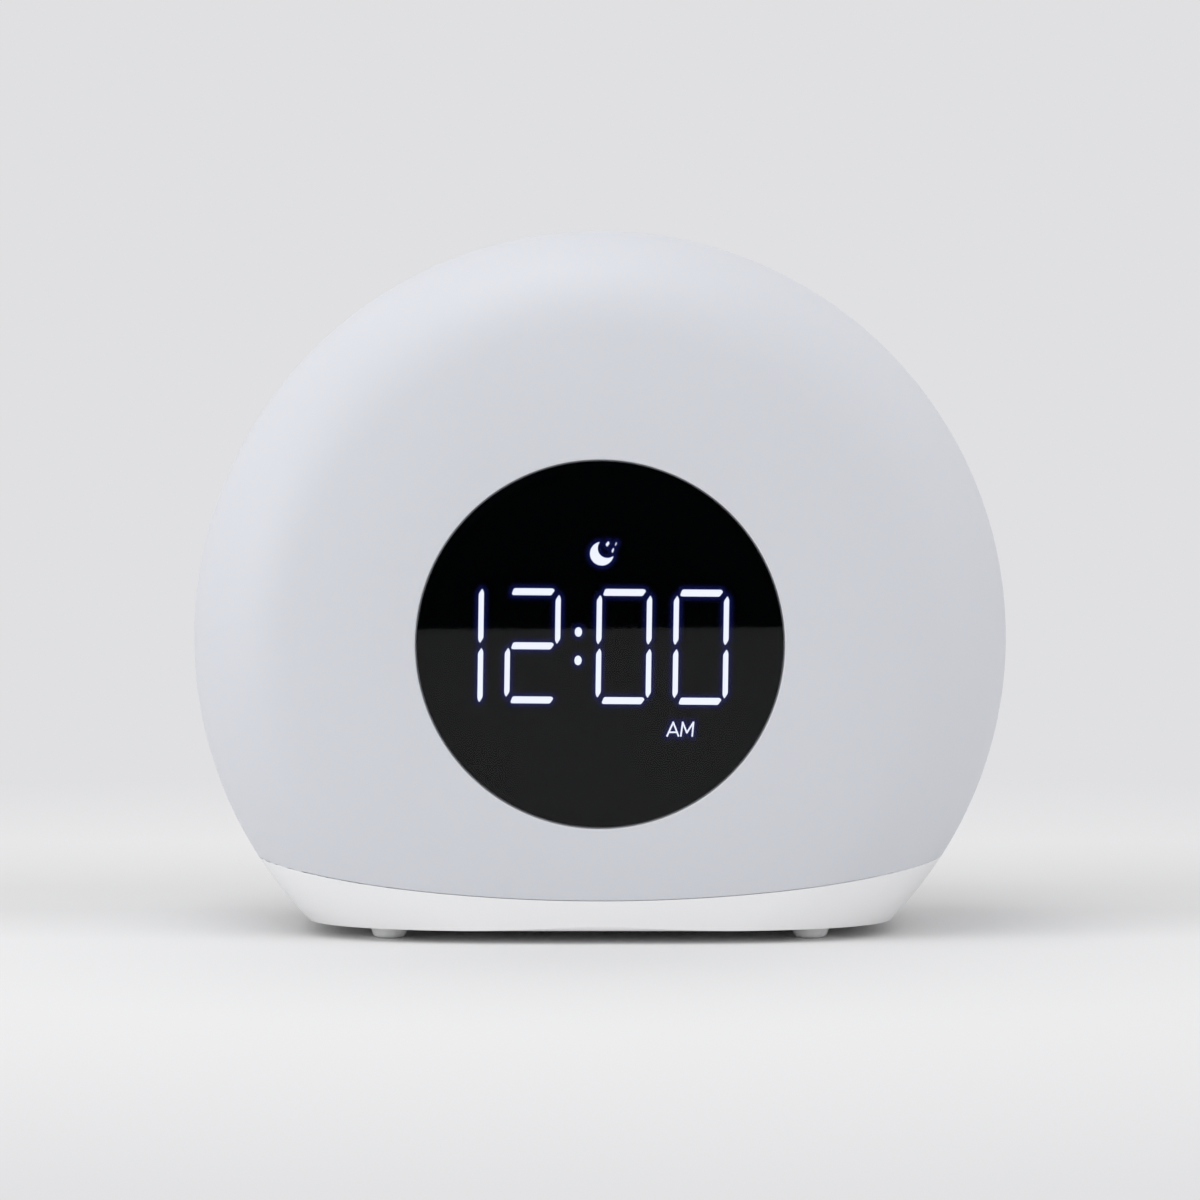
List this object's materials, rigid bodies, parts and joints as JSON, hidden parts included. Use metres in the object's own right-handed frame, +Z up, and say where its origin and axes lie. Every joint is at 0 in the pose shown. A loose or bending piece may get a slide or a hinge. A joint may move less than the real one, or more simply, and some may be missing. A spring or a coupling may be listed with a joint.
{
  "type": "night light alarm clock",
  "caption": "Bedside alarm clock and night light: round milky body on a low white base, with a flush round dark display showing the time and keys, switch, sounder and power socket at the back.",
  "frame": {"origin": "floor level under the middle of the clock, at the feet's lower faces", "axes": "+Z up, +X along the width to the viewer's right, -Y out of the display, so +Y points out of the back"},
  "size_m": [0.175, 0.084, 0.151],
  "materials": {
    "milky_diffuser": "satin translucent",
    "white_shell": "gloss",
    "foot_rubber": "matte",
    "smoked_lens": "polished",
    "black_foam": "matte",
    "black_plastic": "satin",
    "lit_mark": "glowing",
    "unlit_mark": "satin",
    "circuit_board": "solder mask",
    "grey_ribbon": "satin",
    "reflector_white": "matte",
    "white_board": "solder mask",
    "led_phosphor": "satin",
    "lead_yellow": "satin",
    "lead_red": "satin",
    "lead_black": "satin",
    "chip_black": "satin",
    "grey_key": "satin",
    "painted_steel": "satin",
    "speaker_paper": "matte",
    "plated_contact": "bright",
    "cell_jacket": "satin",
    "screw_steel": "zinc plated"
  },
  "bodies": {
    "clock": {"front_shell": "milky_diffuser", "rear_shell": "white_shell", "base_tray": "white_shell", "foot_front_left": "foot_rubber", "foot_front_right": "foot_rubber", "foot_rear_left": "foot_rubber", "foot_rear_right": "foot_rubber", "display_lens": "smoked_lens", "lens_tape": "black_foam", "display_housing": "black_plastic", "lit_segments": "lit_mark", "unlit_segments": "unlit_mark", "display_board": "circuit_board", "display_holder": "black_plastic", "display_ribbon": "grey_ribbon", "reflector": "reflector_white", "light_board": "white_board", "night_leds": "led_phosphor", "light_leads": "lead_yellow", "main_board": "circuit_board", "control_chip": "chip_black", "board_parts": "chip_black", "button_board": "circuit_board", "button_ribbon": "grey_ribbon", "switch_bodies": "chip_black", "alarm_switch_body": "chip_black", "speaker_basket": "painted_steel", "speaker_magnet": "painted_steel", "speaker_cone": "speaker_paper", "speaker_gasket": "black_foam", "speaker_clamp": "white_shell", "speaker_leads": "lead_red", "power_socket": "black_plastic", "socket_pin": "plated_contact", "power_leads": "lead_black", "backup_cells": "cell_jacket", "cell_contacts": "plated_contact", "battery_leads": "lead_red", "shell_screws": "screw_steel", "base_screws": "screw_steel", "display_screws": "screw_steel", "board_screws": "screw_steel", "speaker_screws": "screw_steel"},
    "battery_cover": {"battery_door": "white_shell"},
    "alarm_slide": {"alarm_knob": "grey_key"},
    "minus_key": {"minus_button": "grey_key", "minus_plunger": "chip_black"},
    "light_key": {"light_button": "grey_key", "light_plunger": "chip_black"},
    "time_key": {"time_button": "grey_key", "time_plunger": "chip_black"},
    "alarm_key": {"alarm_button": "grey_key", "alarm_plunger": "chip_black"},
    "plus_key": {"plus_button": "grey_key", "plus_plunger": "chip_black"}
  },
  "joints": [
    {"name": "battery_door_slide", "type": "slide", "parent": "clock", "child": "battery_cover", "axis": [0, 1, 0], "range_m": [0, 0.045]},
    {"name": "alarm_switch_slide", "type": "slide", "parent": "clock", "child": "alarm_slide", "axis": [1, 0, 0], "range_m": [0, 0.004]},
    {"name": "minus_press", "type": "slide", "parent": "clock", "child": "minus_key", "axis": [0, -1, 0], "range_m": [0, 0.0006], "stiffness_N_per_m": 2500},
    {"name": "light_press", "type": "slide", "parent": "clock", "child": "light_key", "axis": [0, -1, 0], "range_m": [0, 0.0006], "stiffness_N_per_m": 2500},
    {"name": "time_press", "type": "slide", "parent": "clock", "child": "time_key", "axis": [0, -1, 0], "range_m": [0, 0.0006], "stiffness_N_per_m": 2500},
    {"name": "alarm_press", "type": "slide", "parent": "clock", "child": "alarm_key", "axis": [0, -1, 0], "range_m": [0, 0.0006], "stiffness_N_per_m": 2500},
    {"name": "plus_press", "type": "slide", "parent": "clock", "child": "plus_key", "axis": [0, -1, 0], "range_m": [0, 0.0006], "stiffness_N_per_m": 2500}
  ]
}
